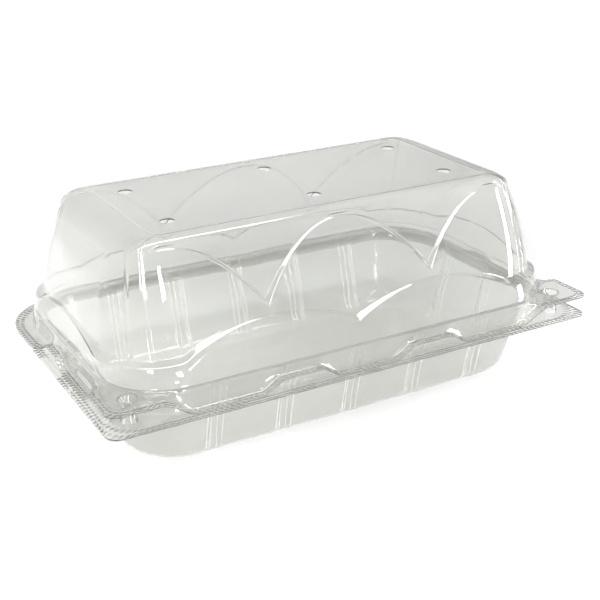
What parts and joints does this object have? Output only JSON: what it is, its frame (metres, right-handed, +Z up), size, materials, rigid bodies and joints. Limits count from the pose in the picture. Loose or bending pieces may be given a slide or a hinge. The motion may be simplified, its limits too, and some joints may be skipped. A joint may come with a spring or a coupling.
{
  "type": "hinged clear fruit container",
  "caption": "Clear thermoformed fruit pack: ribbed tray with a wide lip and a domed lid with scalloped walls, vent holes and a wavy rim, hinged along the back.",
  "frame": {"origin": "on the table under the middle of the closed pack", "axes": "+X along the pack's length, +Y towards the hinge at the back, +Z up"},
  "size_m": [0.2, 0.125, 0.0818],
  "materials": {
    "tray_sheet": "clear gloss",
    "lid_sheet": "clear gloss"
  },
  "bodies": {
    "tray_body": {"tray": "tray_sheet"},
    "lid_body": {"lid": "lid_sheet"}
  },
  "joints": [
    {"name": "lid_hinge", "type": "hinge", "parent": "tray_body", "child": "lid_body", "pos_m": [0, 0.0629, 0.0272], "axis": [-1, 0, 0], "range_deg": [0, 140]}
  ]
}
